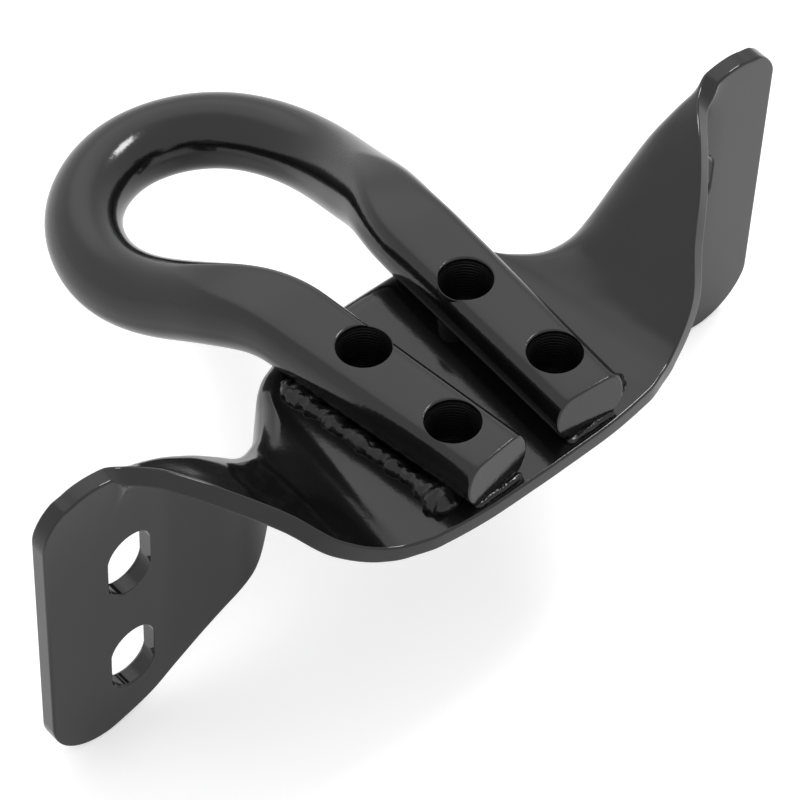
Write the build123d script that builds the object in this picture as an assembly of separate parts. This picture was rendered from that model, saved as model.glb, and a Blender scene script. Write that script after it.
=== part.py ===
from build123d import *
from dataclasses import dataclass
from math import acos, cos, pi, radians, sin, tan
import os

# Recovery tow hook: a forged round bar bent into a loop, its two legs pressed
# flat and drilled, welded onto a stamped saddle bracket with slotted flanges.
#
# Part frame: +Z up along the flanges, +X out of the flanges' vehicle faces,
# origin on the plane of those faces, midway between the four slots.
# Seat frame: z = 0 is the top of the bracket's platform, x runs along the hook
# legs towards their ends, y = 0 is the mirror plane, and x = y = 0 is the middle
# of the four leg holes. The platform rises slightly towards the leg ends, so the
# seat frame is tilted in the part frame.
#
# Left is the -Y side and right is the +Y side.

# Hook bar, in mm, in the seat frame
bar_diameter = 21.4
leg_thickness = 15.4
leg_end_x = 32.2
leg_end_half_spacing = 15.8
leg_back_x = -38.0
leg_back_half_spacing = 22.0
leg_rim_radius = 0.8
leg_end_radius = 10.75
leg_back_radius = 11.6
step_x = -50.0
step_half_spacing = 24.0
step_z = 6.1
neck_x = -62.0
neck_half_spacing = 27.8
neck_z = 1.8
throat_x = -72.5
throat_half_spacing = 30.6
throat_z = -3.3
loop_front_x = -83.0
loop_front_half_spacing = 33.1
loop_front_z = -8.3
loop_side_x = -100.6
loop_half_width = 34.8
loop_side_z = -13.9
loop_quarter_x = -125.4
loop_quarter_half_spacing = 25.1
loop_quarter_z = -16.8
loop_back_x = -137.2
loop_back_z = -17.6

# Holes through the legs, which the platform closes below, in mm
hole_diameter = 14.5
hole_spacing_along = 34.0
hole_spacing_across = 34.8

# Stamped bracket, in mm and degrees
sheet_thickness = 5.0
platform_front_x = 35.3
platform_back_x = -45.3
platform_bend_radius = 8.0
platform_rise = 3.8
platform_height = 25.5
platform_offset = 13.9
back_lip_drop = 14.0
seat_play = 0.01
flange_half_width = 124.0
flange_joint_half_width = 107.0
flange_top_z = 59.8
flange_shoulder_z = 46.0
flange_bend_radius = 12.0
flange_bottom_z = -46.0
flange_top_corner_radius = 13.5
flange_bottom_corner_radius = 16.7

# Slots in the flanges, in mm
slot_width = 13.8
slot_length = 22.4
slot_spacing = 40.2
slot_half_spread = 97.4

# Weld beads, in mm, in the seat frame
side_bead_radius = 4.2
side_bead_back_x = -32.0
side_bead_front_x = 29.5
end_bead_radius = 2.4
end_bead_length = 16.0
bead_lift = 1.2
bead_bluntness = 0.5

# How the pressing is laid: its sections from the middle out, the longest share of a
# run that a bend may take, and a bend's shortest reach, in mm
section_count = 22
bend_limit = 0.8
least_reach = 2.0

# How the neck is laid: its share of the bend, its count of sections, the narrowest
# pressed facet, in degrees of its half angle, and how flat a facet is, in mm
neck_share = 0.16
neck_sections = 9
least_facet_angle = 15.0
facet_tolerance = 0.001

# How far a cutting tool reaches past what it cuts, in mm
past = 20.0

seat_frame = Pos(platform_offset, 0, platform_height) * Rot(0, -platform_rise, 0)


def seat(x, y, z):
    """A point of the seat frame, given in the part frame."""
    return (seat_frame * Pos(x, y, z)).position


def rear(y, z):
    """A point of the flange's rear face, given in the part frame."""
    return Vector(-sheet_thickness, y, z)


def unit(vector):
    """A vector of length 1 along another."""
    return vector / vector.length


@dataclass
class Station:
    """One section of the pressing's skin: two straight runs and the bend between them."""

    front: Vector
    shoulder: Vector
    back: Vector
    bend_radius: float

    def mirrored(self):
        """The same section on the other side of the mirror plane."""
        points = [Vector(p.X, -p.Y, p.Z) for p in (self.front, self.shoulder, self.back)]
        return Station(*points, self.bend_radius)

    def numbers(self):
        """Every number that sets this section, in a fixed order."""
        points = (self.front, self.shoulder, self.back)
        return [n for p in points for n in (p.X, p.Y, p.Z)] + [self.bend_radius]

    def bend(self):
        """The bend's reach along both runs, and its handles as a share of that reach."""
        forwards = self.front - self.shoulder
        backwards = self.back - self.shoulder
        half_angle = radians(forwards.get_angle(backwards)) / 2
        longest = bend_limit * min(forwards.length, backwards.length)
        reach = max(least_reach, min(self.bend_radius / tan(half_angle), longest))
        turn = pi - 2 * half_angle
        return reach, 4 / 3 * tan(turn / 4) * tan(half_angle)

    def polygon(self):
        """The ends of the two runs, with the shoulder in the middle."""
        reach = self.bend()[0]
        bend_front = self.shoulder + unit(self.front - self.shoulder) * reach
        bend_back = self.shoulder + unit(self.back - self.shoulder) * reach
        return [self.front, bend_front, self.shoulder, bend_back, self.back]

    def edges(self, polygon):
        """A run, a bend and a run along this section's polygon or one beside it."""
        front, bend_front, shoulder, bend_back, back = polygon
        handle = self.bend()[1]
        pull_front = bend_front + (shoulder - bend_front) * handle
        pull_back = bend_back + (shoulder - bend_back) * handle
        return [
            Edge.make_line(front, bend_front),
            Edge.make_bezier(bend_front, pull_front, pull_back, bend_back),
            Edge.make_line(bend_back, back),
        ]


def flat_station(y):
    """A straight section that lies in the flange's plane."""
    top = rear(y, flange_top_z)
    shoulder = rear(y, flange_shoulder_z)
    return Station(top, shoulder, rear(y, flange_bottom_z), flange_bend_radius)


def platform_station(front_y, back_y, front_pull, back_pull):
    """A section of the flat platform, with its back edge rolled down."""
    front = seat(platform_front_x - front_pull, front_y, -seat_play)
    shoulder = seat(platform_back_x + back_pull, back_y, -seat_play)
    back = seat(platform_back_x + back_pull, back_y, -back_lip_drop)
    return Station(front, shoulder, back, platform_bend_radius)


def half_stations():
    """Sections from the middle of the platform out past the joint with one flange."""
    joint = flange_joint_half_width
    return [
        platform_station(0, 0, 0, 0),
        platform_station(17, 15, 0.2, 0.3),
        platform_station(36, 32, 2, 4.6),
        platform_station(43, 36.4, 4.3, 7.4),
        Station(seat(28.8, 48.6, 1), seat(-34, 40.2, 0.9), seat(-33.2, 42.2, -20.2), 12),
        Station(seat(23.6, 59.8, 8), seat(-26.6, 49.2, 1.8), seat(-25, 50.6, -32.8), 16),
        Station(seat(15, 68.3, 17.1), seat(-23, 58.8, 6.5), seat(-22, 59, -45.8), 22),
        Station(seat(7.2, 77.4, 25), seat(-21, 65.8, 13.5), seat(-22.3, 68, -51), 24),
        Station(seat(-1, 85.2, 30.2), seat(-20.2, 74.2, 19.2), seat(-22.7, 76.4, -56), 22),
        Station(seat(-8.4, 91.4, 32.8), seat(-20.2, 83.2, 23.4), seat(-23, 84.6, -61), 18),
        Station(Vector(-1.8, 96.8, 58), Vector(-5.4, 92.5, 50.5), rear(92.7, -41.9), 14),
        Station(Vector(-4.8, 102, 58.6), rear(100.5, 46.5), rear(100.4, -44.6), 12),
        flat_station(joint),
        flat_station(joint + past),
    ]


def steadied(places, values):
    """Slopes that let a cubic pass through the values without overshooting them."""
    rates = []
    for i in range(len(places) - 1):
        rates.append((values[i + 1] - values[i]) / (places[i + 1] - places[i]))
    slopes = [rates[0]]
    for before, after in zip(rates, rates[1:]):
        product = before * after
        slopes.append(2 * product / (before + after) if product > 0 else 0.0)
    return slopes + [rates[-1]]


def between(places, values, slopes, place):
    """The cubic's value at one place."""
    i = max(k for k in range(len(places) - 1) if places[k] <= place)
    run = places[i + 1] - places[i]
    t = (place - places[i]) / run
    rise = values[i + 1] - values[i]
    start_slope = slopes[i] * run
    end_slope = slopes[i + 1] * run
    bend = (3 * rise - 2 * start_slope - end_slope) * t * t
    twist = (start_slope + end_slope - 2 * rise) * t * t * t
    return values[i] + start_slope * t + bend + twist


def close_stations():
    """Many sections, evenly spaced, that run steadily through the few that are set."""
    stations = half_stations()
    places = [0.0]
    for a, b in zip(stations, stations[1:]):
        places.append(places[-1] + (b.front - a.front).length + (b.back - a.back).length)
    columns = list(zip(*[s.numbers() for s in stations]))
    slopes = [steadied(places, column) for column in columns]
    close = []
    for i in range(section_count):
        place = places[-1] * i / (section_count - 1)
        n = [between(places, c, s, place) for c, s in zip(columns, slopes)]
        close.append(Station(Vector(*n[0:3]), Vector(*n[3:6]), Vector(*n[6:9]), n[9]))
    return close


def offset_polygon(before, polygon, after):
    """A section's polygon moved square to the skin by the sheet's thickness."""
    along = [unit(b - a) for a, b in zip(before, after)]
    front = unit(unit(polygon[1] - polygon[0]).cross(along[0] + along[1]))
    back = unit(unit(polygon[4] - polygon[3]).cross(along[3] + along[4]))
    corner = (front + back) / (1 + front.dot(back))
    moves = (front, front, corner, back, back)
    return [point + move * sheet_thickness for point, move in zip(polygon, moves)]


def make_pressing():
    """The twisted middle of the bracket: a loft through closed sections of the sheet."""
    half = close_stations()
    stations = [s.mirrored() for s in half[:0:-1]] + half
    polygons = [s.polygon() for s in stations]
    before = polygons[:1] + polygons[:-1]
    after = polygons[1:] + polygons[-1:]
    outlines = []
    for station, previous, outer, following in zip(stations, before, polygons, after):
        inner = offset_polygon(previous, outer, following)
        back_cut = Edge.make_line(outer[-1], inner[-1])
        front_cut = Edge.make_line(inner[0], outer[0])
        outlines.append(
            Wire([*station.edges(outer), back_cut, *station.edges(inner), front_cut])
        )
    reach = 4 * (flange_top_z - flange_bottom_z)
    return Solid.make_loft(outlines) & Box(reach, 2 * flange_joint_half_width, reach)


def flange_outline():
    """A block that trims both flanges to their width and rounds their outer corners."""
    margin = 1.0
    width = 2 * flange_half_width
    height = flange_top_z - flange_bottom_z + 2 * margin
    middle = (flange_top_z + flange_bottom_z) / 2
    block = Pos(0, 0, middle) * Box(8 * past, width, height)
    corners = block.edges().filter_by(Axis.X).group_by(Axis.Z)
    block = fillet(corners[-1], flange_top_corner_radius + margin)
    corners = block.edges().filter_by(Axis.X).group_by(Axis.Z)
    return fillet(corners[0], flange_bottom_corner_radius + margin)


def slot_cutters():
    """Upright obround cutters for the slots of both flanges."""
    cutters = []
    for y in (-slot_half_spread, slot_half_spread):
        for z in (-slot_spacing / 2, slot_spacing / 2):
            face = Plane(origin=(past, y, z), x_dir=(0, 0, 1), z_dir=(1, 0, 0))
            slot = face * SlotOverall(slot_length, slot_width)
            cutters.append(extrude(slot, amount=-(sheet_thickness + 2 * past)))
    return cutters


def leg_hole_cutters():
    """Cylinders for the four holes through the legs, square to the platform."""
    depth = 2 * (leg_thickness + past)
    spots = GridLocations(hole_spacing_along, hole_spacing_across, 2, 2)
    return [seat_frame * spot * Cylinder(hole_diameter / 2, depth) for spot in spots]


def make_bracket():
    """The stamped bracket: a twisted middle and two slotted flanges."""
    bracket = make_pressing()
    run = flange_half_width - flange_joint_half_width
    for side in (-1, 1):
        ends = bracket.faces().sort_by(Axis.Y)
        end = ends[-1] if side > 0 else ends[0]
        bracket = bracket + extrude(end, amount=run, dir=(0, side, 0))
    bracket = bracket & flange_outline()
    for cutter in slot_cutters():
        bracket -= cutter
    return bracket


def bar_line():
    """The bar's centreline: the left leg, the left neck and the whole loop."""
    mid_leg = leg_thickness / 2
    half = [
        (loop_back_x, 0, loop_back_z),
        (loop_quarter_x, loop_quarter_half_spacing, loop_quarter_z),
        (loop_side_x, loop_half_width, loop_side_z),
        (loop_front_x, loop_front_half_spacing, loop_front_z),
        (throat_x, throat_half_spacing, throat_z),
        (neck_x, neck_half_spacing, neck_z),
        (step_x, step_half_spacing, step_z),
        (leg_back_x, leg_back_half_spacing, mid_leg),
    ]
    points = [(x, -y, z) for x, y, z in half[:0:-1]] + half
    run = leg_end_x - leg_back_x
    taper = leg_end_half_spacing - leg_back_half_spacing
    legwards = [(-run, taper, 0), (run, taper, 0)]
    bend = Spline(*points, tangents=legwards, tangent_scalars=[1, 1])
    leg = Line((leg_end_x, -leg_end_half_spacing, mid_leg), points[0])
    return leg, bend.trim(0, neck_share), bend.trim(neck_share, 1 - neck_share)


def across(line, share):
    """The plane square to a line at a share of its length, with its Y axis upwards."""
    along = line.tangent_at(share)
    return Plane(origin=line.position_at(share), x_dir=Vector(0, 0, 1).cross(along), z_dir=along)


def bar_face(plane, radius, half_thickness):
    """A round section with its upper and under faces pressed to a thickness."""
    half_angle = max(acos(min(1, half_thickness / radius)), radians(least_facet_angle))
    x = radius * sin(half_angle)
    y = radius * cos(half_angle)
    if half_thickness - y < facet_tolerance:
        upper = Line((-x, y), (x, y))
        under = Line((x, -y), (-x, -y))
    else:
        upper = ThreePointArc((-x, y), (0, half_thickness), (x, y))
        under = ThreePointArc((x, -y), (0, -half_thickness), (-x, -y))
    near = ThreePointArc((x, y), (radius, 0), (x, -y))
    far = ThreePointArc((-x, -y), (-radius, 0), (-x, y))
    return plane * make_face([upper, near, under, far])


def eased(share):
    """A share from 0 to 1 that starts and ends gently."""
    return share * share * (3 - 2 * share)


def make_neck(line):
    """The bar's step down to the loop, where its pressed faces fade into the round."""
    round_radius = bar_diameter / 2
    sections = []
    for i in range(neck_sections):
        share = i / (neck_sections - 1)
        fade = eased(share)
        radius = leg_back_radius + fade * (round_radius - leg_back_radius)
        half_thickness = leg_thickness / 2 + fade * (round_radius - leg_thickness / 2)
        sections.append(bar_face(across(line, share), radius, half_thickness))
    return loft(sections)


def make_hook():
    """The forged bar: a bent loop with two pressed and drilled legs."""
    leg_line, neck_line, loop_line = bar_line()
    leg = loft(
        [
            bar_face(across(leg_line, 0), leg_end_radius, leg_thickness / 2),
            bar_face(across(leg_line, 1), leg_back_radius, leg_thickness / 2),
        ],
        ruled=True,
    )
    end = leg.faces().sort_by(Axis.X)[-1]
    leg = fillet(end.edges(), leg_rim_radius)
    round_radius = bar_diameter / 2
    loop = sweep(bar_face(across(loop_line, 0), round_radius, round_radius), path=loop_line)
    side = leg + make_neck(neck_line)
    hook = seat_frame * (loop + side + mirror(side, Plane.XZ))
    for cutter in leg_hole_cutters():
        hook -= cutter
    return hook


@dataclass
class Bead:
    """A weld bead laid along a straight foot, given in the seat frame."""

    start: tuple
    end: tuple
    radius: float

    def solid(self):
        """The bead before it is trimmed: a round bar with blunt ends."""
        first = Vector(*self.start)
        last = Vector(*self.end)
        along = last - first
        foot = Plane(origin=first, z_dir=along)
        bar = extrude(foot * Circle(self.radius), amount=along.length)
        rims = bar.edges().filter_by(GeomType.CIRCLE)
        return seat_frame * chamfer(rims, self.radius * bead_bluntness)


def leg_half_spacing(x):
    """How far a leg's centre lies from the mirror plane at x."""
    share = (x - leg_back_x) / (leg_end_x - leg_back_x)
    return leg_back_half_spacing + share * (leg_end_half_spacing - leg_back_half_spacing)


def side_bead(side):
    """The bead along the outer foot of one leg (side -1 left, 1 right)."""
    out = bar_diameter / 2 - bead_lift / 2
    points = [
        (x, side * (leg_half_spacing(x) + out), bead_lift)
        for x in (side_bead_back_x, side_bead_front_x)
    ]
    return Bead(points[0], points[1], side_bead_radius)


def end_bead(side):
    """The bead across the foot of one leg's end face."""
    points = [
        (leg_end_x, side * (leg_end_half_spacing + i * end_bead_length / 2), bead_lift)
        for i in (-1, 1)
    ]
    return Bead(points[0], points[1], end_bead_radius)


def trimmed(bead, hook):
    """The part of a bead that lies above the seat, beside the hook and clear of its holes."""
    reach = 2 * platform_front_x + 2 * past
    above = seat_frame * Pos(0, 0, reach / 2) * Box(2 * reach, 2 * reach, reach)
    solid = (bead.solid() & above) - hook
    for cutter in leg_hole_cutters():
        solid -= cutter
    return solid


def main():
    """Make every piece and write one STEP file for each."""
    hook = make_hook()
    pieces = {"mounting_bracket": make_bracket(), "hook_bar": hook}
    for name, side in (("left", -1), ("right", 1)):
        pieces[f"weld_side_{name}"] = trimmed(side_bead(side), hook)
        pieces[f"weld_end_{name}"] = trimmed(end_bead(side), hook)
    os.makedirs("parts", exist_ok=True)
    for name, piece in pieces.items():
        export_step(piece, f"parts/{name}.step")
        print(name, len(piece.solids()), piece.is_valid, round(piece.volume), piece.bounding_box())


if __name__ == "__main__":
    main()
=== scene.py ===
"""Dresses the recovery tow hook: a black coated loop of bar on a twisted saddle bracket.

Every length is in millimetres until a mesh is written, and every place is in the part's
own frame: +X out of the flanges' vehicle faces, +Y along the bracket and +Z up.
"""

import logging
import math
from dataclasses import dataclass
from enum import Enum

import bmesh
import bpy
import numpy as np
from mathutils import Matrix


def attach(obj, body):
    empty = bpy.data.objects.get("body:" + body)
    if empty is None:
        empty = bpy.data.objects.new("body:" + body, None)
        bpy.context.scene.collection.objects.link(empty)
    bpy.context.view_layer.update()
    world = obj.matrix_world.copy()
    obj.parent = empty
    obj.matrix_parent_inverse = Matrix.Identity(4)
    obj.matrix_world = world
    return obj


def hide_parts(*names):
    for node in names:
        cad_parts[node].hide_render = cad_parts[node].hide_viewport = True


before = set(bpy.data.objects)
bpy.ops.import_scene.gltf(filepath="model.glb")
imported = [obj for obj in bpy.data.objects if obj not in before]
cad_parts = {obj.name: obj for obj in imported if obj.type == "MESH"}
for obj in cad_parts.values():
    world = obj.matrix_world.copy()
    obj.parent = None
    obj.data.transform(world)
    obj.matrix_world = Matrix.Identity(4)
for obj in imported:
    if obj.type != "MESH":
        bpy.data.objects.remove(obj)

log = logging.getLogger("tow_hook")
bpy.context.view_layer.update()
MM = 0.001
BODY = "root"
NORMAL_WEIGHT = 80
UP = np.array([0.0, 0.0, 1.0])
MIRROR = np.array([1, -1, 1])

# The columns of a row that holds one section of the bracket: the x, y and z of its front,
# shoulder and back corners, and its bend's radius.
FRONT, SHOULDER, BACK, BEND = slice(0, 3), slice(3, 6), slice(6, 9), 9
EVERY_Y = [1, 4, 7]
FRONT_Y, FRONT_Z, SHOULDER_Z, BACK_Z = 1, 2, 5, 8


class Side(Enum):
    """The two sides of the part: left is -Y and right is +Y."""

    LEFT = -1
    RIGHT = 1


class Sheen(Enum):
    """How smoothly the coat lies: on sheet, on forged bar, over a weld or in a thread."""

    SHEET = "sheet"
    BAR = "bar"
    WELD = "weld"
    THREAD = "thread"


Coats = dict[Sheen, bpy.types.Material]


@dataclass(frozen=True)
class Seat:
    """The platform's own frame: z = 0 on its top, x along the legs, between the holes."""

    offset: float = 13.9
    height: float = 25.5
    rise: float = 3.8

    def turned(self, vectors: np.ndarray) -> np.ndarray:
        """Turns directions of the seat frame by the platform's rise.

        Args:
            vectors: an array whose last axis holds x, y and z.

        Returns:
            The same directions in the part frame.
        """
        angle = math.radians(-self.rise)
        c, s = math.cos(angle), math.sin(angle)
        return vectors @ np.array([[c, 0, s], [0, 1, 0], [-s, 0, c]]).T

    def to_part(self, points: np.ndarray) -> np.ndarray:
        """Points of the seat frame, turned and lifted into the part frame."""
        return self.turned(points) + np.array([self.offset, 0, self.height])


SEAT = Seat()


def unit(vectors: np.ndarray) -> np.ndarray:
    """Each vector divided by its own length."""
    return vectors / np.maximum(np.linalg.norm(vectors, axis=-1, keepdims=True), 1e-12)


def circle(count: int) -> np.ndarray:
    """The angles of evenly spaced points round a circle."""
    return np.linspace(0, 2 * math.pi, count, endpoint=False)


def quarter(count: int) -> np.ndarray:
    """Evenly spaced angles of a quarter circle, with both its ends."""
    return np.linspace(0, math.pi / 2, count)


def ramp(places: np.ndarray, start: float, end: float) -> np.ndarray:
    """Nought before the start, one past the end and a straight rise between them."""
    return np.clip((places - start) / (end - start), 0, 1)


def corner_drop(places: np.ndarray, edge: float, radius: float) -> np.ndarray:
    """How far a rounded corner has dropped: r less the root of r squared less the square
    of the way into the corner, which starts one radius r before the edge.

    Args:
        places: the places asked for.
        edge: where the corner ends.
        radius: its radius.

    Returns:
        One drop for each place.
    """
    into = np.clip(places - (edge - radius), 0, radius)
    return radius - np.sqrt(radius**2 - into**2)


def travelled(points: np.ndarray) -> np.ndarray:
    """How far along the straight runs between them each point lies."""
    return np.concatenate([[0], np.cumsum(np.linalg.norm(np.diff(points, axis=0), axis=1))])


def steady_slopes(places: np.ndarray, values: np.ndarray) -> np.ndarray:
    """Slopes for a cubic that never overshoots: the harmonic mean of the two rates
    beside a value, or nought where the values turn round.

    Args:
        places: where the values are given, rising.
        values: one row for each place.

    Returns:
        One row of slopes for each place.
    """
    rates = np.diff(values, axis=0) / np.diff(places)[:, None]
    before, after = rates[:-1], rates[1:]
    product = before * after
    inner = np.where(product > 0, 2 * product / np.where(product > 0, before + after, 1), 0)
    return np.concatenate([rates[:1], inner, rates[-1:]])


def cubics(
    places: np.ndarray, values: np.ndarray, slopes: np.ndarray, wanted: np.ndarray
) -> np.ndarray:
    """Values between the given ones: on each run the cubic that has the values and the
    slopes of the run's two ends.

    Args:
        places: where the values are given, rising.
        values: one row for each place.
        slopes: one row for each place.
        wanted: the places asked for.

    Returns:
        One row for each place asked for.
    """
    i = np.clip(np.searchsorted(places, wanted, side="right") - 1, 0, len(places) - 2)
    run = (places[i + 1] - places[i])[:, None]
    t = (wanted - places[i])[:, None] / run
    rise = values[i + 1] - values[i]
    start, end = slopes[i] * run, slopes[i + 1] * run
    bend = (3 * rise - 2 * start - end) * t**2
    return values[i] + start * t + bend + (start + end - 2 * rise) * t**3


def bend_spline(
    points: np.ndarray, start: np.ndarray, end: np.ndarray, count: int, fine: int = 4000
) -> np.ndarray:
    """A cubic spline through points, whose places are the lengths of the straight runs
    between them, with its directions at both ends set, sampled evenly.

    Args:
        points: the points to pass.
        start: the direction at the first point.
        end: the direction at the last point.
        count: how many samples to return.
        fine: how many samples the curve's length is measured with.

    Returns:
        The samples, evenly spaced along the curve.
    """
    places = travelled(points)
    gaps = np.diff(places)
    matrix = np.eye(len(points))
    inner = np.arange(1, len(points) - 1)
    matrix[inner, inner - 1] = 1 / gaps[:-1]
    matrix[inner, inner] = 2 / gaps[:-1] + 2 / gaps[1:]
    matrix[inner, inner + 1] = 1 / gaps[1:]
    rates = np.diff(points, axis=0) / (gaps**2)[:, None]
    right = np.concatenate([[unit(start)], 3 * (rates[:-1] + rates[1:]), [unit(end)]])
    slopes = np.linalg.solve(matrix, right)
    curve = cubics(places, points, slopes, np.linspace(0, places[-1], fine))
    length = travelled(curve)
    wanted = np.linspace(0, length[-1], count)
    return np.stack([np.interp(wanted, length, curve[:, k]) for k in range(3)], axis=1)


def smooth_hash(points: np.ndarray, seed: float) -> np.ndarray:
    """A soft, repeatable unevenness between -1 and 1: three sine waves, whose
    directions and lengths differ so that they never fall into step, added up and divided
    by the most that they can reach.

    Args:
        points: the places, on the last axis.
        seed: shifts the waves.

    Returns:
        One number for each place.
    """
    x, y, z = points[..., 0], points[..., 1], points[..., 2]
    one = np.sin(1.7 * x + 0.9 * y + seed) * np.cos(1.1 * z - 0.6 * x + 2 * seed)
    two = np.sin(0.8 * y - 1.3 * z + 3 * seed + 0.4 * np.sin(x))
    three = np.cos(2.3 * x - 1.9 * y + 1.4 * z + seed)
    faint = 0.6
    return (one + two + faint * three) / (2 + faint)


def upright_rings(
    centre: tuple[float, float], wide: np.ndarray, level: np.ndarray, around: int
) -> np.ndarray:
    """Rings of a round wall square to the platform: the centre plus the radius times the
    cosine and sine of the angle, at each level.

    Args:
        centre: the wall's x and y in the seat frame.
        wide: the radius, one row for each ring, the same all round or one for each point.
        level: the rings' heights.
        around: how many points a ring has.

    Returns:
        An array of rings, points in a ring, and x, y and z of the part frame.
    """
    angle = circle(around)
    x, y = centre[0] + wide * np.cos(angle), centre[1] + wide * np.sin(angle)
    return SEAT.to_part(np.stack(np.broadcast_arrays(x, y, level[:, None]), axis=-1))


def put(name: str, data: bpy.types.ID) -> bpy.types.Object:
    """Makes an object at the origin and links it to the scene.

    Args:
        name: the object's name.
        data: its mesh, light or camera.

    Returns:
        The object.
    """
    made = bpy.data.objects.new(name, data)
    bpy.context.scene.collection.objects.link(made)
    return made


@dataclass
class Skin:
    """A mesh in the making: its points in millimetres and its faces."""

    name: str
    points: np.ndarray
    faces: list[list[int]]

    @classmethod
    def tube(cls, name: str, rings: np.ndarray, around: bool = False) -> "Skin":
        """A closed surface through rings of points: each ring closes on itself, each
        pair of rings is joined by quads, and the ends are capped or joined together.

        Args:
            name: the piece's name.
            rings: an array of rings, points in a ring, and x, y and z.
            around: whether the last ring joins the first.

        Returns:
            The surface.
        """
        count, size = rings.shape[:2]
        index = np.arange(count * size).reshape(count, size)
        first = index if around else index[:-1]
        second = np.roll(index, -1, axis=0) if around else index[1:]
        quads = np.stack(
            [first, np.roll(first, -1, axis=1), np.roll(second, -1, axis=1), second], axis=-1
        )
        faces = quads.reshape(-1, 4).tolist()
        if not around:
            faces += [index[0][::-1].tolist(), index[-1].tolist()]
        return cls(name, rings.reshape(-1, 3), faces)

    def mesh(self) -> bpy.types.Mesh:
        """Writes the points in metres and the faces into new mesh data.

        Returns:
            The mesh.
        """
        made = bpy.data.meshes.new(self.name)
        made.from_pydata((self.points * MM).tolist(), [], self.faces)
        made.validate()
        return made

    def build(self) -> bpy.types.Object:
        """Makes an object of the closed surface and turns its faces outwards, judged by
        the sign of its volume.

        Returns:
            The object, linked to the scene.
        """
        piece = put(self.name, self.mesh())
        work = bmesh.new()
        work.from_mesh(piece.data)
        bmesh.ops.recalc_face_normals(work, faces=work.faces)
        if work.calc_volume(signed=True) < 0:
            bmesh.ops.reverse_faces(work, faces=work.faces)
        work.to_mesh(piece.data)
        work.free()
        return piece

    def dress(
        self,
        material: bpy.types.Material,
        sharp: float,
        nodes: tuple[str, ...] = (),
        cutters: "tuple[Skin, ...]" = (),
    ) -> None:
        """Makes the piece, cuts it, smooths it up to an angle, gives it its finish and
        sets it on the part.

        Args:
            material: its finish.
            sharp: the angle in degrees past which an edge stays sharp.
            nodes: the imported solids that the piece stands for.
            cutters: the shapes to take away.
        """
        piece = self.build()
        carve(piece, cutters)
        piece.data.materials.clear()
        piece.data.materials.append(material)
        piece.data.shade_smooth()
        piece.data.set_sharp_from_angle(angle=math.radians(sharp))
        weigh = piece.modifiers.new("even_normals", "WEIGHTED_NORMAL")
        weigh.keep_sharp = True
        weigh.weight = NORMAL_WEIGHT
        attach(piece, BODY)
        if nodes:
            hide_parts(*nodes)
        log.info("%s: %d faces", piece.name, len(piece.data.polygons))


def carve(piece: bpy.types.Object, cutters: tuple[Skin, ...]) -> None:
    """Cuts closed shapes out of a piece and keeps only the result.

    Args:
        piece: the piece that is cut.
        cutters: the shapes to take away; none of them is left in the scene.
    """
    if not cutters:
        return
    tools = [cutter.build() for cutter in cutters]
    for tool in tools:
        cut = piece.modifiers.new("cut", "BOOLEAN")
        cut.operation = "DIFFERENCE"
        cut.solver = "EXACT"
        cut.object = tool
    graph = bpy.context.evaluated_depsgraph_get()
    mesh = bpy.data.meshes.new_from_object(piece.evaluated_get(graph))
    piece.modifiers.clear()
    old, piece.data = piece.data, mesh
    mesh.name = old.name
    bpy.data.meshes.remove(old)
    for tool in tools:
        data = tool.data
        bpy.data.objects.remove(tool)
        bpy.data.meshes.remove(data)


@dataclass
class Graph:
    """A tree of shader nodes that is being wired."""

    tree: bpy.types.NodeTree

    def wire(self, node: bpy.types.Node, values: dict[str | int, object]) -> None:
        """Sets a node's inputs, each to a value or to the output that feeds it.

        Args:
            node: the node.
            values: what each input gets, by its name or number.
        """
        for name, value in values.items():
            if isinstance(value, bpy.types.NodeSocket):
                self.tree.links.new(value, node.inputs[name])
            else:
                node.inputs[name].default_value = value

    def add(
        self, kind: str, values: dict[str | int, object], **options: object
    ) -> bpy.types.NodeOutputs:
        """Adds a shader node, chooses its options and then sets its inputs.

        Args:
            kind: the node's type, without the words that all shader nodes share.
            values: what each input gets, by its name or number.
            options: the node's own settings.

        Returns:
            The node's outputs.
        """
        node = self.tree.nodes.new(f"ShaderNode{kind}")
        for option, choice in options.items():
            setattr(node, option, choice)
        self.wire(node, values)
        return node.outputs


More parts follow.
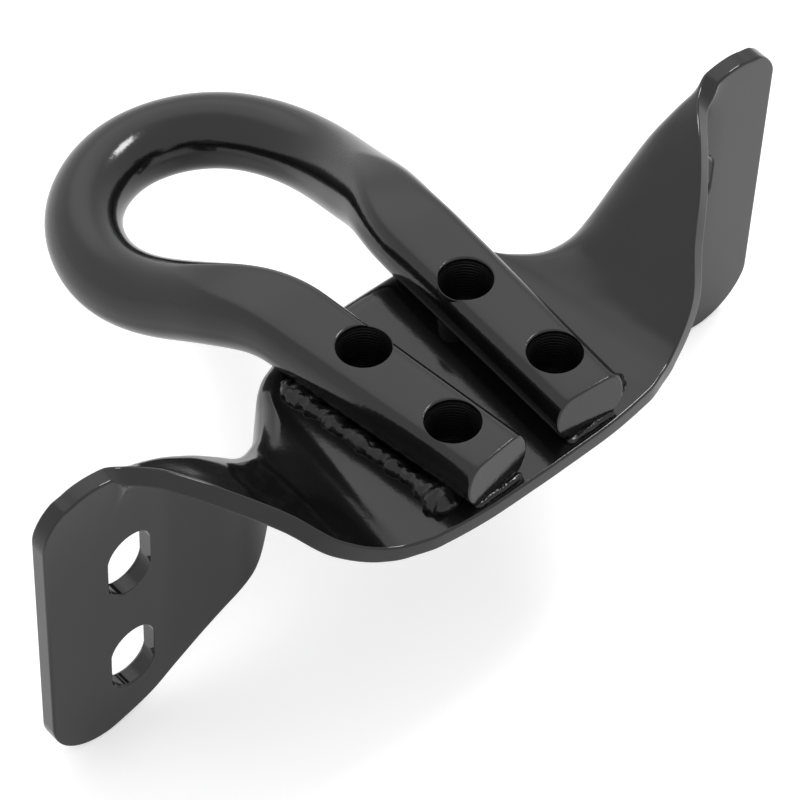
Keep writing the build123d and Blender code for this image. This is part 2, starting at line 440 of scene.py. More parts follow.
@dataclass(frozen=True)
class Shaders:
    """Node groups that several finishes share."""

    coat_group: str = "coat_surface"

    def coat(self) -> bpy.types.ShaderNodeTree:
        """The coat's surface: a fine orange peel over slow waves, with a little dust of
        gloss lost in patches, all on Object coordinates.

        Returns:
            The node group, made on its first use.
        """
        known = bpy.data.node_groups.get(self.coat_group)
        if known:
            return known
        tree = bpy.data.node_groups.new(self.coat_group, "ShaderNodeTree")
        for name in ("Peel Scale", "Wave Scale", "Wave Share"):
            tree.interface.new_socket(name, in_out="INPUT", socket_type="NodeSocketFloat")
        for name in ("Height", "Gloss Loss", "Tone"):
            tree.interface.new_socket(name, in_out="OUTPUT", socket_type="NodeSocketFloat")
        given = tree.nodes.new("NodeGroupInput").outputs
        graph = Graph(tree)
        place = graph.add("TexCoord", {})["Object"]
        peel = {"Vector": place, "Scale": given["Peel Scale"], "Detail": 2.0, "Roughness": 0.45}
        peel = graph.add("TexNoise", peel)["Fac"]
        wave = {"Vector": place, "Scale": given["Wave Scale"], "Detail": 3.0}
        wave = graph.add("TexNoise", wave)["Fac"]
        patch = graph.add("TexNoise", {"Vector": place, "Scale": 23.0, "Detail": 4.0})["Fac"]
        relief = {"Factor": given["Wave Share"], "A": peel, "B": wave}
        relief = graph.add("Mix", relief, data_type="FLOAT")["Result"]
        lost = graph.add("MapRange", {"Value": patch, "From Min": 0.35, "From Max": 0.75})
        tone = graph.add("MapRange", {"Value": wave, "From Min": 0.3, "From Max": 0.7})
        shown = {"Height": relief, "Gloss Loss": lost["Result"], "Tone": tone["Result"]}
        graph.wire(tree.nodes.new("NodeGroupOutput"), shown)
        return tree


@dataclass(frozen=True)
class BlackCoat:
    """Gloss black powder coat.

    Args:
        sheen: how smoothly it lies.
        dark: the coat's colour where it is deepest.
        pale: its colour where it is thinnest.
        roughness: its gloss, and how far the gloss falls in patches.
        peel_scale: the grain of the orange peel, per metre.
        wave_scale: the size of the metal's own unevenness, per metre.
        wave_share: how much of the relief is that unevenness.
        relief: the relief's depth in metres.
        shine: the strength of the coat's reflection, 0.5 for a plain gloss.
    """

    sheen: Sheen
    dark: tuple[float, float, float] = (0.0030, 0.0030, 0.0032)
    pale: tuple[float, float, float] = (0.0050, 0.0050, 0.0052)
    roughness: tuple[float, float] = (0.08, 0.14)
    peel_scale: float = 900.0
    wave_scale: float = 60.0
    wave_share: float = 0.3
    relief: float = 0.00002
    shine: float = 0.5

    def material(self) -> bpy.types.Material:
        """Builds the material around the shared coat surface.

        Returns:
            The material.
        """
        made = bpy.data.materials.new(f"coated_{self.sheen.value}")
        made.use_nodes = True
        graph = Graph(made.node_tree)
        scales = {
            "Peel Scale": self.peel_scale,
            "Wave Scale": self.wave_scale,
            "Wave Share": self.wave_share,
        }
        surface = graph.add("Group", scales, node_tree=Shaders().coat())
        colour = {"Factor": surface["Tone"], "A": (*self.dark, 1), "B": (*self.pale, 1)}
        low, high = self.roughness
        gloss = {"Value": surface["Gloss Loss"], "To Min": low, "To Max": high}
        bump = {"Height": surface["Height"], "Distance": self.relief, "Strength": 1.0}
        looks = {
            "Base Color": graph.add("Mix", colour, data_type="RGBA")["Result"],
            "Roughness": graph.add("MapRange", gloss)["Result"],
            "Normal": graph.add("Bump", bump)["Normal"],
            "Specular IOR Level": self.shine,
        }
        graph.wire(made.node_tree.nodes["Principled BSDF"], looks)
        return made


@dataclass(frozen=True)
class Finishes:
    """The finishes of the part, one for each way its metal was made."""

    coats: tuple[BlackCoat, ...] = (
        BlackCoat(Sheen.SHEET),
        BlackCoat(
            Sheen.BAR, roughness=(0.10, 0.18), wave_scale=45.0, wave_share=0.45, relief=0.00005
        ),
        BlackCoat(
            Sheen.WELD,
            roughness=(0.10, 0.20),
            peel_scale=1300.0,
            wave_scale=420.0,
            wave_share=0.6,
            relief=0.0003,
            shine=0.4,
        ),
        BlackCoat(
            Sheen.THREAD,
            roughness=(0.30, 0.42),
            peel_scale=1500.0,
            wave_scale=300.0,
            relief=0.00005,
            shine=0.3,
        ),
    )
    def materials(self) -> Coats:
        """One material for each sheen."""
        return {coat.sheen: coat.material() for coat in self.coats}


@dataclass
class SaddleBracket:
    """The stamped bracket: a platform that twists down into two slotted flanges."""

    name: str = "saddle_bracket"
    thickness: float = 5.0
    front_x: float = 35.3
    back_x: float = -45.3
    lip_drop: float = 14.0
    play: float = 0.01
    half_width: float = 124.0
    joint: float = 107.0
    past_joint: float = 20.0
    top: float = 59.8
    bottom: float = -46.0
    shoulder: float = 46.0
    top_corner: float = 13.5
    bottom_corner: float = 16.7
    rim: float = 0.7
    # The slots: their rim is the flare at both faces, and their cutters overrun these.
    slot_width: float = 13.8
    slot_length: float = 22.4
    slot_spacing: float = 40.2
    slot_spread: float = 97.4
    slot_rim: float = 0.5
    slot_around: int = 48
    overrun: float = 20.0
    # How many points and sections the sheet has.
    sections: int = 120
    end_sections: int = 22
    per_run: int = 15
    per_corner: int = 5
    # How far the bend reaches into its runs, and where the shoulder comes down.
    bend_limit: float = 0.8
    least_reach: float = 2.0
    flattest: float = 0.999999
    low_shoulder: float = 38.0
    lowered_from: float = 100.0
    # Where the top edge is eased, and the unevenness from the press.
    crown_from: tuple[float, float] = (92.0, 98.0)
    crown_fade: float = 3.0
    crown_ease: float = 6.5
    crown_samples: int = 21
    unevenness: float = 0.15
    uneven_scale: float = 0.22
    uneven_seed: float = 0.8
    uneven_from: tuple[float, float] = (30.0, 34.0)
    uneven_to: tuple[float, float] = (94.0, 84.0)
    sharp: float = 32.0

    def seat_rows(self) -> np.ndarray:
        """The sections set in the seat frame, from the middle to the bend's end.

        Returns:
            One row for each section.
        """
        f, b, d, z = self.front_x, self.back_x, -self.lip_drop, -self.play
        return np.array(
            [
                [f, 0, z, b, 0, z, b, 0, d, 8],
                [f - 0.2, 17, z, b + 0.3, 15, z, b + 0.3, 15, d, 8],
                [f - 2, 36, z, b + 4.6, 32, z, b + 4.6, 32, d, 8],
                [f - 4.3, 43, z, b + 7.4, 36.4, z, b + 7.4, 36.4, d, 8],
                [28.8, 48.6, 1, -34, 40.2, 0.9, -33.2, 42.2, -20.2, 12],
                [23.6, 59.8, 8, -26.6, 49.2, 1.8, -25, 50.6, -32.8, 16],
                [15, 68.3, 17.1, -23, 58.8, 6.5, -22, 59, -45.8, 22],
                [7.2, 77.4, 25, -21, 65.8, 13.5, -22.3, 68, -51, 24],
                [-1, 85.2, 30.2, -20.2, 74.2, 19.2, -22.7, 76.4, -56, 22],
                [-8.4, 91.4, 32.8, -19.6, 83.2, 23.4, -23, 84.6, -61, 18],
            ],
            float,
        )

    def flange_rows(self) -> np.ndarray:
        """The sections set in the part frame, out to just past the joint.

        Returns:
            One row for each section.
        """
        t = -self.thickness
        rows = [
            [-1.8, 96.8, 58, -6.0, 92.5, 50.5, t, 92.7, -41.9, 14],
            [-4.8, 102, 58.8, t - 0.3, 100.5, 46.5, t, 100.4, -44.6, 12],
        ]
        for y in (self.joint, self.joint + self.past_joint):
            rows.append([t, y, self.top, t, y, self.shoulder, t, y, self.bottom, 12])
        return np.array(rows, float)

    def stations(self) -> np.ndarray:
        """Closely spaced sections from the middle to the flange's outer edge. They run
        through the set ones on steady cubics as far as the joint, and from there stay
        flat, with the top and bottom edges rounded off at the flange's corners.

        Returns:
            One row for each section.
        """
        rows = self.seat_rows()
        rows[:, :BEND] = SEAT.to_part(rows[:, :BEND].reshape(-1, 3, 3)).reshape(-1, BEND)
        rows = np.concatenate([rows, self.flange_rows()])
        places = travelled(rows[:, FRONT]) + travelled(rows[:, BACK])
        wanted = np.linspace(0, places[-2], self.sections)
        inner = cubics(places, rows, steady_slopes(places, rows), wanted)
        lowered = (self.shoulder - self.low_shoulder) * (inner[:, SHOULDER_Z] > self.low_shoulder)
        inner[:, SHOULDER_Z] -= lowered * ramp(inner[:, FRONT_Y], self.lowered_from, self.joint)
        turn = np.sin(quarter(self.end_sections)[1:])
        y = self.joint + (self.half_width - self.joint) * turn
        outer = np.repeat(rows[-2:-1], len(y), axis=0)
        outer[:, EVERY_Y] = y[:, None]
        outer[:, FRONT_Z] = self.top - corner_drop(y, self.half_width, self.top_corner)
        outer[:, SHOULDER_Z] = self.low_shoulder
        outer[:, BACK_Z] = self.bottom + corner_drop(y, self.half_width, self.bottom_corner)
        whole = np.concatenate([inner, outer])
        whole[:, FRONT_Z] = self.eased_top(whole[:, FRONT_Y], whole[:, FRONT_Z])
        return whole

    def eased_top(self, y: np.ndarray, top: np.ndarray) -> np.ndarray:
        """The top edge's height with its kinks eased near the flange's corner: the mean
        of the heights over a short span, faded in and out along the edge.

        Args:
            y: where the sections stand, rising.
            top: their front corners' heights.

        Returns:
            The eased heights.
        """
        spans = y[:, None] + np.linspace(-1, 1, self.crown_samples) * self.crown_ease
        mean = np.interp(spans, y, top).mean(axis=1)
        end = self.half_width - self.crown_ease
        fade = ramp(y, *self.crown_from) * ramp(y, end, end - self.crown_fade)
        return top + (mean - top) * fade

    def loops(self) -> np.ndarray:
        """Closed sections of the sheet: the outer face, a cut edge, the inner face and
        the other cut edge. The inner face is the outer one moved by the sheet's
        thickness, square to it. Both draw in by a quarter circle over the last rim's
        width, so that the flange's outer edge is rounded.

        Returns:
            An array of sections, points round a section, and x, y and z.
        """
        half = self.stations()
        mirrored = half[:0:-1].copy()
        mirrored[:, EVERY_Y] *= -1
        rows = np.concatenate([mirrored, half])
        skin, handle = self.corners(rows)
        moves = self.inward(skin)
        pinch = corner_drop(np.abs(rows[:, FRONT_Y]), self.half_width, self.rim)[:, None, None]
        shown, hidden = skin + moves * pinch, skin + moves * (self.thickness - pinch)
        sides = [
            self.face(shown, handle),
            self.cut_edge(shown[:, 4:2:-1], hidden[:, 4:2:-1]),
            self.face(hidden, handle)[:, ::-1],
            self.cut_edge(hidden[:, :2], shown[:, :2]),
        ]
        whole = np.concatenate(sides, axis=1)
        whole[..., 2] += self.pressed_waves(whole)
        return whole

    def corners(self, rows: np.ndarray) -> tuple[np.ndarray, np.ndarray]:
        """The corners of each section's outer face: its front, where the bend leaves the
        first run, its shoulder, where the bend meets the second run, and its back. A bend
        of radius r between runs that open by 2a reaches r / tan(a) along them, and the
        cubic nearest to its arc has handles of 4/3 tan(turn / 4) tan(a) of that reach.

        Args:
            rows: the sections.

        Returns:
            The five corners of each section, and the handles' share of the reach.
        """
        front, shoulder, back = rows[:, FRONT], rows[:, SHOULDER], rows[:, BACK]
        forwards, backwards = front - shoulder, back - shoulder
        shorter = np.minimum(
            np.linalg.norm(forwards, axis=1), np.linalg.norm(backwards, axis=1)
        )
        forwards, backwards = unit(forwards), unit(backwards)
        cosine = np.clip((forwards * backwards).sum(1), -self.flattest, self.flattest)
        half_angle = np.arccos(cosine) / 2
        reach = np.minimum(rows[:, BEND] / np.tan(half_angle), self.bend_limit * shorter)
        reach = np.maximum(reach, self.least_reach)[:, None]
        leave, meet = shoulder + forwards * reach, shoulder + backwards * reach
        turn = math.pi - 2 * half_angle
        handle = (4 / 3 * np.tan(turn / 4) * np.tan(half_angle))[:, None, None]
        return np.stack([front, leave, shoulder, meet, back], axis=1), handle

    def inward(self, skin: np.ndarray) -> np.ndarray:
        """How each corner moves for every millimetre of depth. A run moves square to
        itself and to the bracket's length, and the shoulder to where both runs cross.

        Args:
            skin: the five corners of each section's outer face.

        Returns:
            One move for each corner.
        """
        before = np.concatenate([skin[:1], skin[:-1]])
        after = np.concatenate([skin[1:], skin[-1:]])
        along = unit(after - before)
        first, second = (
            unit(np.cross(unit(skin[:, k + 1] - skin[:, k]), along[:, k] + along[:, k + 1]))
            for k in (0, 3)
        )
        crossing = (first + second) / (1 + (first * second).sum(1, keepdims=True))
        return np.stack([first, first, crossing, second, second], axis=1)

    def pressed_waves(self, points: np.ndarray) -> np.ndarray:
        """The sheet's soft unevenness from the press: slow waves over x and y that fade
        out under the legs and before the flanges, which stay flat.

        Args:
            points: the sheet's points.

        Returns:
            How far each point rises.
        """
        y = np.abs(points[..., 1])
        fade = ramp(y, *self.uneven_from) * ramp(y, *self.uneven_to)
        flat = points * np.array([self.uneven_scale, self.uneven_scale, 0])
        return self.unevenness * fade * smooth_hash(flat, self.uneven_seed)

    def face(self, skin: np.ndarray, handle: np.ndarray) -> np.ndarray:
        """One face's points: evenly along the first run, along a cubic whose handles lie
        on the runs, and evenly along the second run. It stops one rim short of the cut
        edges.

        Args:
            skin: the face's five corners in each section.
            handle: the cubic's handles as a share of the bend's reach.

        Returns:
            The points of each section.
        """
        front, leave, shoulder, meet, back = (skin[:, k, None] for k in range(5))
        t = np.linspace(0, 1, self.per_run)[:, None]
        start = front + unit(leave - front) * self.rim
        end = back + unit(meet - back) * self.rim
        pull_one = leave + (shoulder - leave) * handle
        pull_two = meet + (shoulder - meet) * handle
        bend = leave * (1 - t) ** 3 + 3 * pull_one * t * (1 - t) ** 2
        bend = bend + 3 * pull_two * t**2 * (1 - t) + meet * t**3
        run_one = start * (1 - t) + leave * t
        run_two = meet * (1 - t) + end * t
        return np.concatenate([run_one[:, :-1], bend, run_two[:, 1:]], axis=1)

    def cut_edge(self, near: np.ndarray, far: np.ndarray) -> np.ndarray:
        """A cut edge with both its corners rounded: a quarter circle at each corner,
        whose centre lies one rim inside both faces that meet there.

        Args:
            near: the corner on the face that the loop comes from, and the next point of
                that face.
            far: the same two points of the other face.

        Returns:
            The points of each section between the two faces.
        """
        across = unit(far[:, 0] - near[:, 0])
        angle = quarter(self.per_corner)[1:, None]
        arcs = []
        for face, through in ((near, across), (far, -across)):
            run = unit(face[:, 1] - face[:, 0])
            centre = (face[:, 0] + (run + through) * self.rim)[:, None]
            spoke = np.cos(angle) * through[:, None] + np.sin(angle) * run[:, None]
            arcs.append(centre - self.rim * spoke)
        return np.concatenate([arcs[0], arcs[1][:, ::-1]], axis=1)

    def slot_cutter(self, y: float, z: float) -> Skin:
        """An obround bar along X that flares at both faces of the flange: its outline is
        two half circles, and its half width grows by the rim at each face.

        Args:
            y: the slot's place along the bracket.
            z: its height.

        Returns:
            The cutter.
        """
        rim, back = self.slot_rim, -self.thickness
        rise = np.sin(quarter(self.per_corner)[1:])
        depth = np.concatenate([[-self.overrun, back - self.play], back + rim * rise])
        depth = np.concatenate([depth, back - depth[::-1]])
        grow = np.concatenate([[rim, rim], rim * (1 - rise)])
        half = self.slot_width / 2
        straight = self.slot_length / 2 - half
        upper = np.arange(self.slot_around) < self.slot_around / 2
        angle = circle(self.slot_around)
        wide = half + np.concatenate([grow, grow[::-1]])[:, None]
        ring_y = y + wide * np.cos(angle)
        ring_z = z + wide * np.sin(angle) + np.where(upper, straight, -straight)
        ring = np.broadcast_arrays(depth[:, None], ring_y, ring_z)
        return Skin.tube("slot_cutter", np.stack(ring, axis=-1))

    def build(self, coats: Coats) -> None:
        """Makes the bracket, cuts its four slots and dresses it.

        Args:
            coats: the finishes.
        """
        cutters = tuple(
            self.slot_cutter(side.value * self.slot_spread, end * self.slot_spacing / 2)
            for side in Side
            for end in (-1, 1)
        )
        skin = Skin.tube(self.name, self.loops())
        skin.dress(coats[Sheen.SHEET], self.sharp, ("mounting_bracket",), cutters)


@dataclass
class HookBar:
    """The forged bar: a loop whose two legs are pressed flat and drilled."""

    name: str = "hook_loop"
    diameter: float = 21.4
    leg_thickness: float = 15.4
    leg_end: tuple[float, float] = (32.2, 15.8)
    leg_back: tuple[float, float] = (-38.0, 22.0)
    end_radius: float = 10.75
    back_radius: float = 11.6
    bends: tuple[tuple[float, float, float], ...] = (
        (-137.2, 0.0, -17.6),
        (-125.4, 25.1, -16.8),
        (-100.6, 34.8, -13.9),
        (-83.0, 33.1, -8.3),
        (-72.5, 30.6, -3.3),
        (-62.0, 27.8, 1.8),
        (-50.0, 24.0, 6.1),
    )
    neck_share: float = 0.16
    rim: float = 0.7
    edge_softness: float = 0.9
    least_softness: float = 0.001
    hole_diameter: float = 14.5
    hole_spacing: tuple[float, float] = (34.0, 34.8)
    hole_rim: float = 0.7
    drill_below: float = 5.0
    drill_above: float = 10.0
    around: int = 96
    along: int = 300
    leg_steps: int = 40
    per_end: int = 6
    per_rim: int = 5
    sharp: float = 35.0

    def line(self) -> tuple[np.ndarray, np.ndarray]:
        """The centreline from the left leg's end to the right leg's end, and how far
        each of its points has faded from pressed, 0, to round, 1: the smooth step
        3 t squared less 2 t cubed over each neck.

        Returns:
            The points in the seat frame and their fade.
        """
        mid = self.leg_thickness / 2
        (ex, ey), (bx, by) = self.leg_end, self.leg_back
        half = np.array([*self.bends, (bx, by, mid)])
        into, out = np.array([bx - ex, ey - by, 0.0]), np.array([ex - bx, ey - by, 0.0])
        bend = bend_spline(np.concatenate([half[:0:-1] * MIRROR, half]), into, out, self.along)
        share = np.linspace(0, 1, self.along)
        t = ramp(np.minimum(share, 1 - share), 0, self.neck_share)
        fade = t * t * (3 - 2 * t)
        steps = np.linspace(0, 1, self.leg_steps)[:-1, None]
        left = np.array([ex, -ey, mid]) * (1 - steps) + bend[0] * steps
        points = np.concatenate([left, bend, (left * MIRROR)[::-1]])
        return points, np.pad(fade, len(left))

    def rings(self) -> np.ndarray:
        """Sections square to the centreline. A section is a circle whose height is held
        to the pressed thickness, with the hold eased in over a soft edge: the height
        kept is the bound less a softened shortfall. The two end rings draw in by a
        quarter circle.

        Returns:
            An array of rings, points in a ring, and x, y and z of the part frame.
        """
        points, fade = self.line()
        tangent = unit(np.gradient(points, axis=0))
        sideways = unit(np.cross(UP, tangent))
        upwards = np.cross(tangent, sideways)
        share = ramp(points[:, 0], self.leg_back[0], self.leg_end[0])
        pressed = self.back_radius + share * (self.end_radius - self.back_radius)
        round_half, leg_half = self.diameter / 2, self.leg_thickness / 2
        radius = pressed + fade * (round_half - pressed)
        height = leg_half + fade * (round_half - leg_half)
        turn = quarter(self.per_end)[:-1]
        inset = (self.rim * (1 - np.cos(turn)))[:, None]
        first = points[0] + tangent[0] * inset
        last = (points[-1] - tangent[-1] * inset)[::-1]
        points = np.concatenate([first, points[1:-1], last])
        pad = len(turn)
        keep = np.concatenate([[0] * pad, np.arange(1, len(fade) - 1), [len(fade) - 1] * pad])
        tangent, sideways, upwards = tangent[keep], sideways[keep], upwards[keep]
        draw = np.zeros(len(points))
        draw[:pad] = self.rim * (1 - np.sin(turn))
        draw[-pad:] = draw[:pad][::-1]
        radius, height = (radius[keep] - draw)[:, None], (height[keep] - draw)[:, None]
        angle = circle(self.around)
        across, rise = np.cos(angle) * radius, np.sin(angle) * radius
        soft = self.edge_softness * (1 - fade[keep][:, None]) + self.least_softness
        over = np.abs(rise) - height
        kept = height - soft * np.logaddexp(0, -over / soft)
        kept = kept + soft * np.logaddexp(0, -height / soft)
        rise = np.sign(rise) * np.clip(kept, 0, None)
        whole = points[:, None] + across[..., None] * sideways[:, None]
        return SEAT.to_part(whole + rise[..., None] * upwards[:, None])

    def hole_cutter(self, x: float, y: float) -> Skin:
        """A cylinder square to the platform that flares where it leaves the leg's top.

        Args:
            x: the hole's place along the leg, in the seat frame.
            y: its place across.

        Returns:
            The cutter.
        """
        bend, top = quarter(self.per_rim), self.leg_thickness
        fillet = top - self.hole_rim * (1 - np.sin(bend))
        level = np.concatenate([[-self.drill_below], fillet, [top + self.drill_above]])
        flare = self.hole_rim * (1 - np.cos(bend))
        wide = self.hole_diameter / 2 + np.pad(flare, 1, mode="edge")
        return Skin.tube("hole_cutter", upright_rings((x, y), wide[:, None], level, self.around))

    def holes(self) -> list[tuple[float, float]]:
        """The centres of the four holes in the seat frame."""
        dx, dy = self.hole_spacing
        return [(sx * dx / 2, sy * dy / 2) for sx in (-1, 1) for sy in (-1, 1)]

    def build(self, coats: Coats) -> None:
        """Makes the bar, drills its legs and dresses it.

        Args:
            coats: the finishes.
        """
        drills = tuple(self.hole_cutter(x, y) for x, y in self.holes())
        skin = Skin.tube(self.name, self.rings())
        skin.dress(coats[Sheen.BAR], self.sharp, ("hook_bar",), drills)


@dataclass
class ThreadedLining:
    """The tapped wall of a leg's hole: a closed sleeve with a thread on its inside."""

    bar: HookBar
    pitch: float = 1.06
    depth: float = 0.27
    low: float = 0.05
    top_gap: float = 0.9
    bite: float = 0.05
    wall: float = 0.35
    around: int = 72
    steps_per_turn: int = 6
    sharp: float = 80.0

    def sleeve(self, number: int, x: float, y: float) -> Skin:
        """The inside's radius is the hole's and a small bite, less a rounded ridge that
        climbs one pitch for each turn; the outside is a plain cylinder in the leg's metal.

        Args:
            number: which hole this is.
            x: its centre along the leg.
            y: its centre across.

        Returns:
            The sleeve.
        """
        radius = self.bar.hole_diameter / 2
        top = self.bar.leg_thickness - self.top_gap
        count = int((top - self.low) / self.pitch * self.steps_per_turn)
        level = np.linspace(self.low, top, count)
        phase = level[:, None] / self.pitch - circle(self.around) / (2 * math.pi)
        ridge = 0.5 - 0.5 * np.cos(2 * math.pi * phase)
        ends = np.minimum(level - self.low, top - level)[:, None]
        inner = radius + self.bite - self.depth * ridge * ramp(ends, 0, self.pitch)
        outer = np.full_like(inner, radius + self.wall)
        wide = np.concatenate([inner, outer[::-1]])
        rings = upright_rings((x, y), wide, np.concatenate([level, level[::-1]]), self.around)
        return Skin.tube(f"hole_thread_{number}", rings, around=True)

    def build(self, coats: Coats) -> None:
        """Makes and dresses the four sleeves.

        Args:
            coats: the finishes.
        """
        for number, (x, y) in enumerate(self.bar.holes(), start=1):
            self.sleeve(number, x, y).dress(coats[Sheen.THREAD], self.sharp)


@dataclass
class WeldBead:
    """A hand-laid bead along the foot of a leg: overlapping ripples on a round body. The
    swell holds places along the bead and its thickness there. Ripple, middle, lump,
    closing and tip are shares of the radius, stray and lean are shares of the pitch, and
    fullness under 1 makes the ripples fuller than a half sine. The strength holds the
    mean and the swing of the ripples' height. A grain of the lumps holds how fast it goes
    along and round the bead, its shift and its share.
    """
    name: str
    node: str
    start: tuple[float, float, float]
    end: tuple[float, float, float]
    radius: float
    swell: tuple[tuple[float, float], ...] = ((0.0, 0.8), (1.0, 0.8))
    pitch: float = 3.1
    ripple: float = 0.07
    middle: float = 0.4
    fullness: float = 0.7
    strength: tuple[float, float] = (0.55, 0.45)
    stray: float = 0.35
    lean: float = 0.21
    rates: tuple[float, float, float] = (1.7, 0.61, 0.83)
    lump: float = 0.34
    grains: tuple[tuple[float, float, float, float], ...] = (
        (0.55, 1.6, 1.0, 0.7),
        (0.95, 3.4, 2.3, 0.45),
    )
    squash: float = 0.7
    closing: float = 0.9
    tip: float = 0.05
    seed: float = 0.3
    around: int = 48
    per_ripple: int = 10
    sharp: float = 75.0

    def ripples(self, s: np.ndarray) -> np.ndarray:
        """The ripples' height along the bead: over each pitch it rises as a half sine and
        drops back, at uneven strides and by uneven amounts.

        Args:
            s: how far along the bead the rings lie.

        Returns:
            One height for each ring, from nought to one.
        """
        quick, slow, other = self.rates
        wander = np.sin(quick * s / self.pitch + self.seed) + np.sin(slow * s + 2 * self.seed)
        phase = (s / self.pitch + self.stray * wander) % 1.0
        mean, swing = self.strength
        strength = mean + swing * np.sin(other * s + 3 * self.seed)
        return np.sin(math.pi * phase) ** self.fullness * strength

    def rings(self) -> np.ndarray:
        """Rings along the bead's line. The radius follows the bead's swell, its ripples
        and its lumps, and both ends close in as half circles.

        Returns:
            An array of rings in the part frame.
        """
        start, end = np.array(self.start), np.array(self.end)
        length = np.linalg.norm(end - start)
        share = np.linspace(0, 1, int(length / self.pitch * self.per_ripple) + 1)
        s = share * length
        close = ramp(np.minimum(s, length - s), 0, self.closing * self.radius)
        body = np.sqrt(np.clip(1 - (1 - close) ** 2, self.tip**2, 1))
        along = unit(end - start)
        side = unit(np.cross(UP, along))
        up = np.cross(along, side)
        angle = circle(self.around)
        centre = (start + s[:, None] * along)[:, None]
        direction = np.cos(angle)[:, None] * side + self.squash * np.sin(angle)[:, None] * up
        uneven = sum(
            part * smooth_hash(centre * lengthwise + direction * roundwise, shift * self.seed)
            for lengthwise, roundwise, shift, part in self.grains
        )
        thick = self.radius * body * np.interp(share, *zip(*self.swell))
        ripples = self.ripple * (self.ripples(s)[:, None] - self.middle)
        radius = thick[:, None] * (1 + ripples + self.lump * uneven)
        lean = self.lean * self.pitch * (np.abs(np.cos(angle)) - 0.5) * body[:, None]
        return SEAT.to_part(centre + direction * radius[..., None] + lean[..., None] * along)

    def build(self, coats: Coats) -> None:
        """Makes the bead and dresses it."""
        skin = Skin.tube(self.name, self.rings())
        skin.dress(coats[Sheen.WELD], self.sharp, (self.node,))


@dataclass
class WeldedFeet:
    """The four beads that join the legs to the platform."""

    bar: HookBar
    side_radius: float = 4.2
    side_back: float = -32.0
    side_front: float = 29.5
    side_out: float = 11.6
    side_swell: tuple[tuple[float, float], ...] = (
        (0.0, 0.5), (0.08, 0.9), (0.17, 0.8), (0.24, 0.55), (0.31, 0.75), (0.4, 0.5),
        (0.48, 0.7), (0.56, 0.52), (0.66, 0.68), (0.74, 0.5), (0.83, 0.75), (0.91, 1.3),
        (0.96, 1.35), (1.0, 1.1),
    )
    side_seed: float = 0.3
    end_radius: float = 1.55
    end_length: float = 16.0
    end_pitch: float = 2.1
    end_ripple: float = 0.10
    end_lump: float = 0.22
    end_seed: float = 1.9
    lift: float = 0.4

    def leg_centre(self, x: float) -> float:
        """How far a leg's centre lies from the mirror plane at x."""
        (ex, ey), (bx, by) = self.bar.leg_end, self.bar.leg_back
        return by + (x - bx) / (ex - bx) * (ey - by)

    def beads(self) -> list[WeldBead]:
        """The bead along each leg's outer foot and the one under its end face.

        Returns:
            Every bead, in the seat frame.
        """
        made = []
        ex, ey = self.bar.leg_end
        for side in Side:
            word, sign = side.name.lower(), side.value
            names = f"bead_side_{word}", f"weld_side_{word}"
            line = (
                (x, sign * (self.leg_centre(x) + self.side_out), self.lift)
                for x in (self.side_back, self.side_front)
            )
            seed = self.side_seed + sign
            made.append(WeldBead(*names, *line, self.side_radius, self.side_swell, seed=seed))
            names = f"bead_end_{word}", f"weld_end_{word}"
            line = ((ex, sign * (ey + k * self.end_length / 2), self.lift) for k in (-1, 1))
            made.append(
                WeldBead(
                    *names,
                    *line,
                    self.end_radius,
                    pitch=self.end_pitch,
                    ripple=self.end_ripple,
                    lump=self.end_lump,
                    seed=self.end_seed + sign,
                )
            )
        return made

    def build(self, coats: Coats) -> None:
        """Makes and dresses every bead.

        Args:
            coats: the finishes.
        """
        for bead in self.beads():
            bead.build(coats)


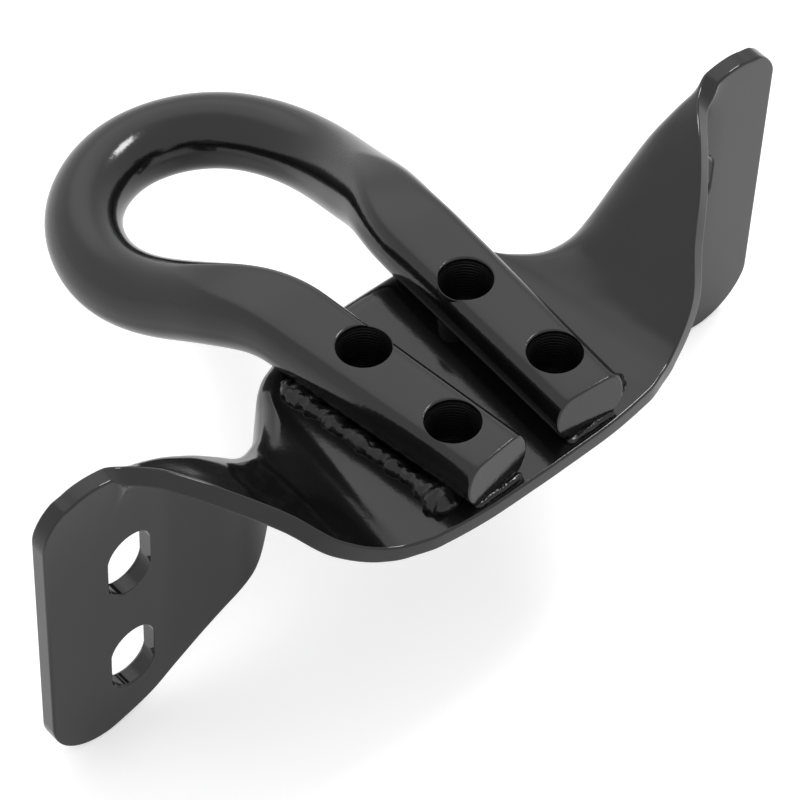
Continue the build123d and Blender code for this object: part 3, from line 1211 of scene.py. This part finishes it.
@dataclass
class Studio:
    """The pale floor, the soft light and the camera at the photograph's angle. Angles are
    in degrees, what ends in px is in the photograph's pixels, and the camera's clipping,
    the floor's size and the lamp are in metres and watts. The glow is what the camera
    sees and what reflections see, and the span is of cosines to the bright side.
    """
    elevation: float = 48.87
    azimuth: float = -40.47
    roll: float = -1.16
    focal_px: float = 4232.0
    px_per_mm: float = 3.930
    centre_px: tuple[float, float] = (459.3, 348.2)
    frame_px: float = 800.0
    clip: tuple[float, float] = (0.01, 50.0)
    floor_z: float = -46.0
    floor_gap: float = 0.3
    floor_size: float = 6.0
    floor_tone: float = 0.8
    floor_glow: tuple[float, float] = (0.40, 0.08)
    bright_side: tuple[float, float, float] = (-0.583, 0.272, 0.766)
    bright_span: tuple[float, float] = (0.82, 0.985)
    bright_level: float = 1.6
    lamp_spot: tuple[float, float, float] = (-0.07, 0.66, 1.0)
    lamp_size: float = 0.28
    lamp_power: float = 5.0

    def camera_pose(self) -> Matrix:
        """The camera's place and turn. Its direction is set by elevation and azimuth in
        the frame of the legs' tops, its frame is turned by the roll, and its distance is
        the focal length over the scale.

        Returns:
            The camera's matrix in the part frame.
        """
        e, a, r = (math.radians(v) for v in (self.elevation, self.azimuth, self.roll))
        view = np.array([math.cos(e) * math.cos(a), math.cos(e) * math.sin(a), math.sin(e)])
        right = np.array([-math.sin(a), math.cos(a), 0.0])
        up = np.cross(view, right)
        right, up = math.cos(r) * right + math.sin(r) * up, math.cos(r) * up - math.sin(r) * right
        shift_x, shift_y = (
            (place - self.frame_px / 2) / self.px_per_mm for place in self.centre_px
        )
        eye = self.focal_px / self.px_per_mm * view - shift_x * right + shift_y * up
        pose = np.eye(4)
        pose[:3, :3] = SEAT.turned(np.stack([right, up, view])).T
        pose[:3, 3] = SEAT.to_part(eye + HookBar.leg_thickness * UP) * MM
        return Matrix(pose.tolist())

    def camera(self) -> None:
        """Puts the camera at the photograph's place and makes it the scene's own."""
        data = bpy.data.cameras.new("camera")
        data.sensor_fit = "HORIZONTAL"
        data.angle = 2 * math.atan(self.frame_px / 2 / self.focal_px)
        data.clip_start, data.clip_end = self.clip
        view = put("camera", data)
        view.matrix_world = self.camera_pose()
        bpy.context.scene.camera = view

    def floor(self) -> None:
        """A pale floor just under the flanges that keeps the part's shadow. It glows a
        little for the camera and for reflections, and lights nothing by that."""
        half, level = self.floor_size / 2 / MM, self.floor_z - self.floor_gap
        corners = [[x * half, y * half, level] for x, y in ((-1, -1), (1, -1), (1, 1), (-1, 1))]
        sheet = put("floor", Skin("floor", np.array(corners), [[0, 1, 2, 3]]).mesh())
        material = bpy.data.materials.new("pale_floor")
        material.use_nodes = True
        graph = Graph(material.node_tree)
        path = graph.add("LightPath", {})
        seen, mirrored = self.floor_glow
        glow = {0: path["Is Glossy Ray"], 1: mirrored}
        glow = graph.add("Math", glow, operation="MULTIPLY")["Value"]
        glow = {0: path["Is Camera Ray"], 1: seen, 2: glow}
        looks = {
            "Base Color": (self.floor_tone, self.floor_tone, self.floor_tone, 1),
            "Roughness": 1.0,
            "Specular IOR Level": 0.0,
            "Emission Color": (1, 1, 1, 1),
            "Emission Strength": graph.add("Math", glow, operation="MULTIPLY_ADD")["Value"],
        }
        graph.wire(material.node_tree.nodes["Principled BSDF"], looks)
        sheet.data.materials.append(material)

    def world(self) -> None:
        """A white surround, which the camera sees at full white. It lights the part at
        that level too, and grows softly brighter behind and above it: the level follows
        the cosine of the angle to the bright side."""
        world = bpy.data.worlds.new("white_room")
        bpy.context.scene.world = world
        world.use_nodes = True
        graph = Graph(world.node_tree)
        cosine = {0: graph.add("TexCoord", {})["Generated"], 1: self.bright_side}
        level = {
            "Value": graph.add("VectorMath", cosine, operation="DOT_PRODUCT")["Value"],
            "From Min": self.bright_span[0],
            "From Max": self.bright_span[1],
            "To Min": 1.0,
            "To Max": self.bright_level,
        }
        level = graph.add("MapRange", level, interpolation_type="SMOOTHSTEP")["Result"]
        camera_ray = graph.add("LightPath", {})["Is Camera Ray"]
        seen = {"Factor": camera_ray, "A": level, "B": 1.0}
        seen = graph.add("Mix", seen, data_type="FLOAT")["Result"]
        back = world.node_tree.nodes["Background"]
        graph.wire(back, {"Color": (1, 1, 1, 1), "Strength": seen})

    def lamp(self) -> None:
        """A small square window of light that looks at the part and draws the highlight
        inside the loop."""
        data = bpy.data.lights.new("small_window", "AREA")
        data.shape = "SQUARE"
        data.size = self.lamp_size
        data.energy = self.lamp_power
        light = put("small_window", data)
        light.location = self.lamp_spot
        light.rotation_euler = (-light.location).to_track_quat("-Z", "Y").to_euler()

    def build(self) -> None:
        """Sets up the view, the floor and the lights."""
        self.camera()
        self.floor()
        self.world()
        self.lamp()
        bpy.context.scene.view_settings.view_transform = "Standard"


def main() -> None:
    """Builds the studio and every piece of the part, in order."""
    logging.basicConfig(level=logging.INFO, format="%(name)s: %(message)s")
    Studio().build()
    coats = Finishes().materials()
    SaddleBracket().build(coats)
    bar = HookBar()
    bar.build(coats)
    ThreadedLining(bar).build(coats)
    WeldedFeet(bar).build(coats)


if __name__ == "__main__":
    main()
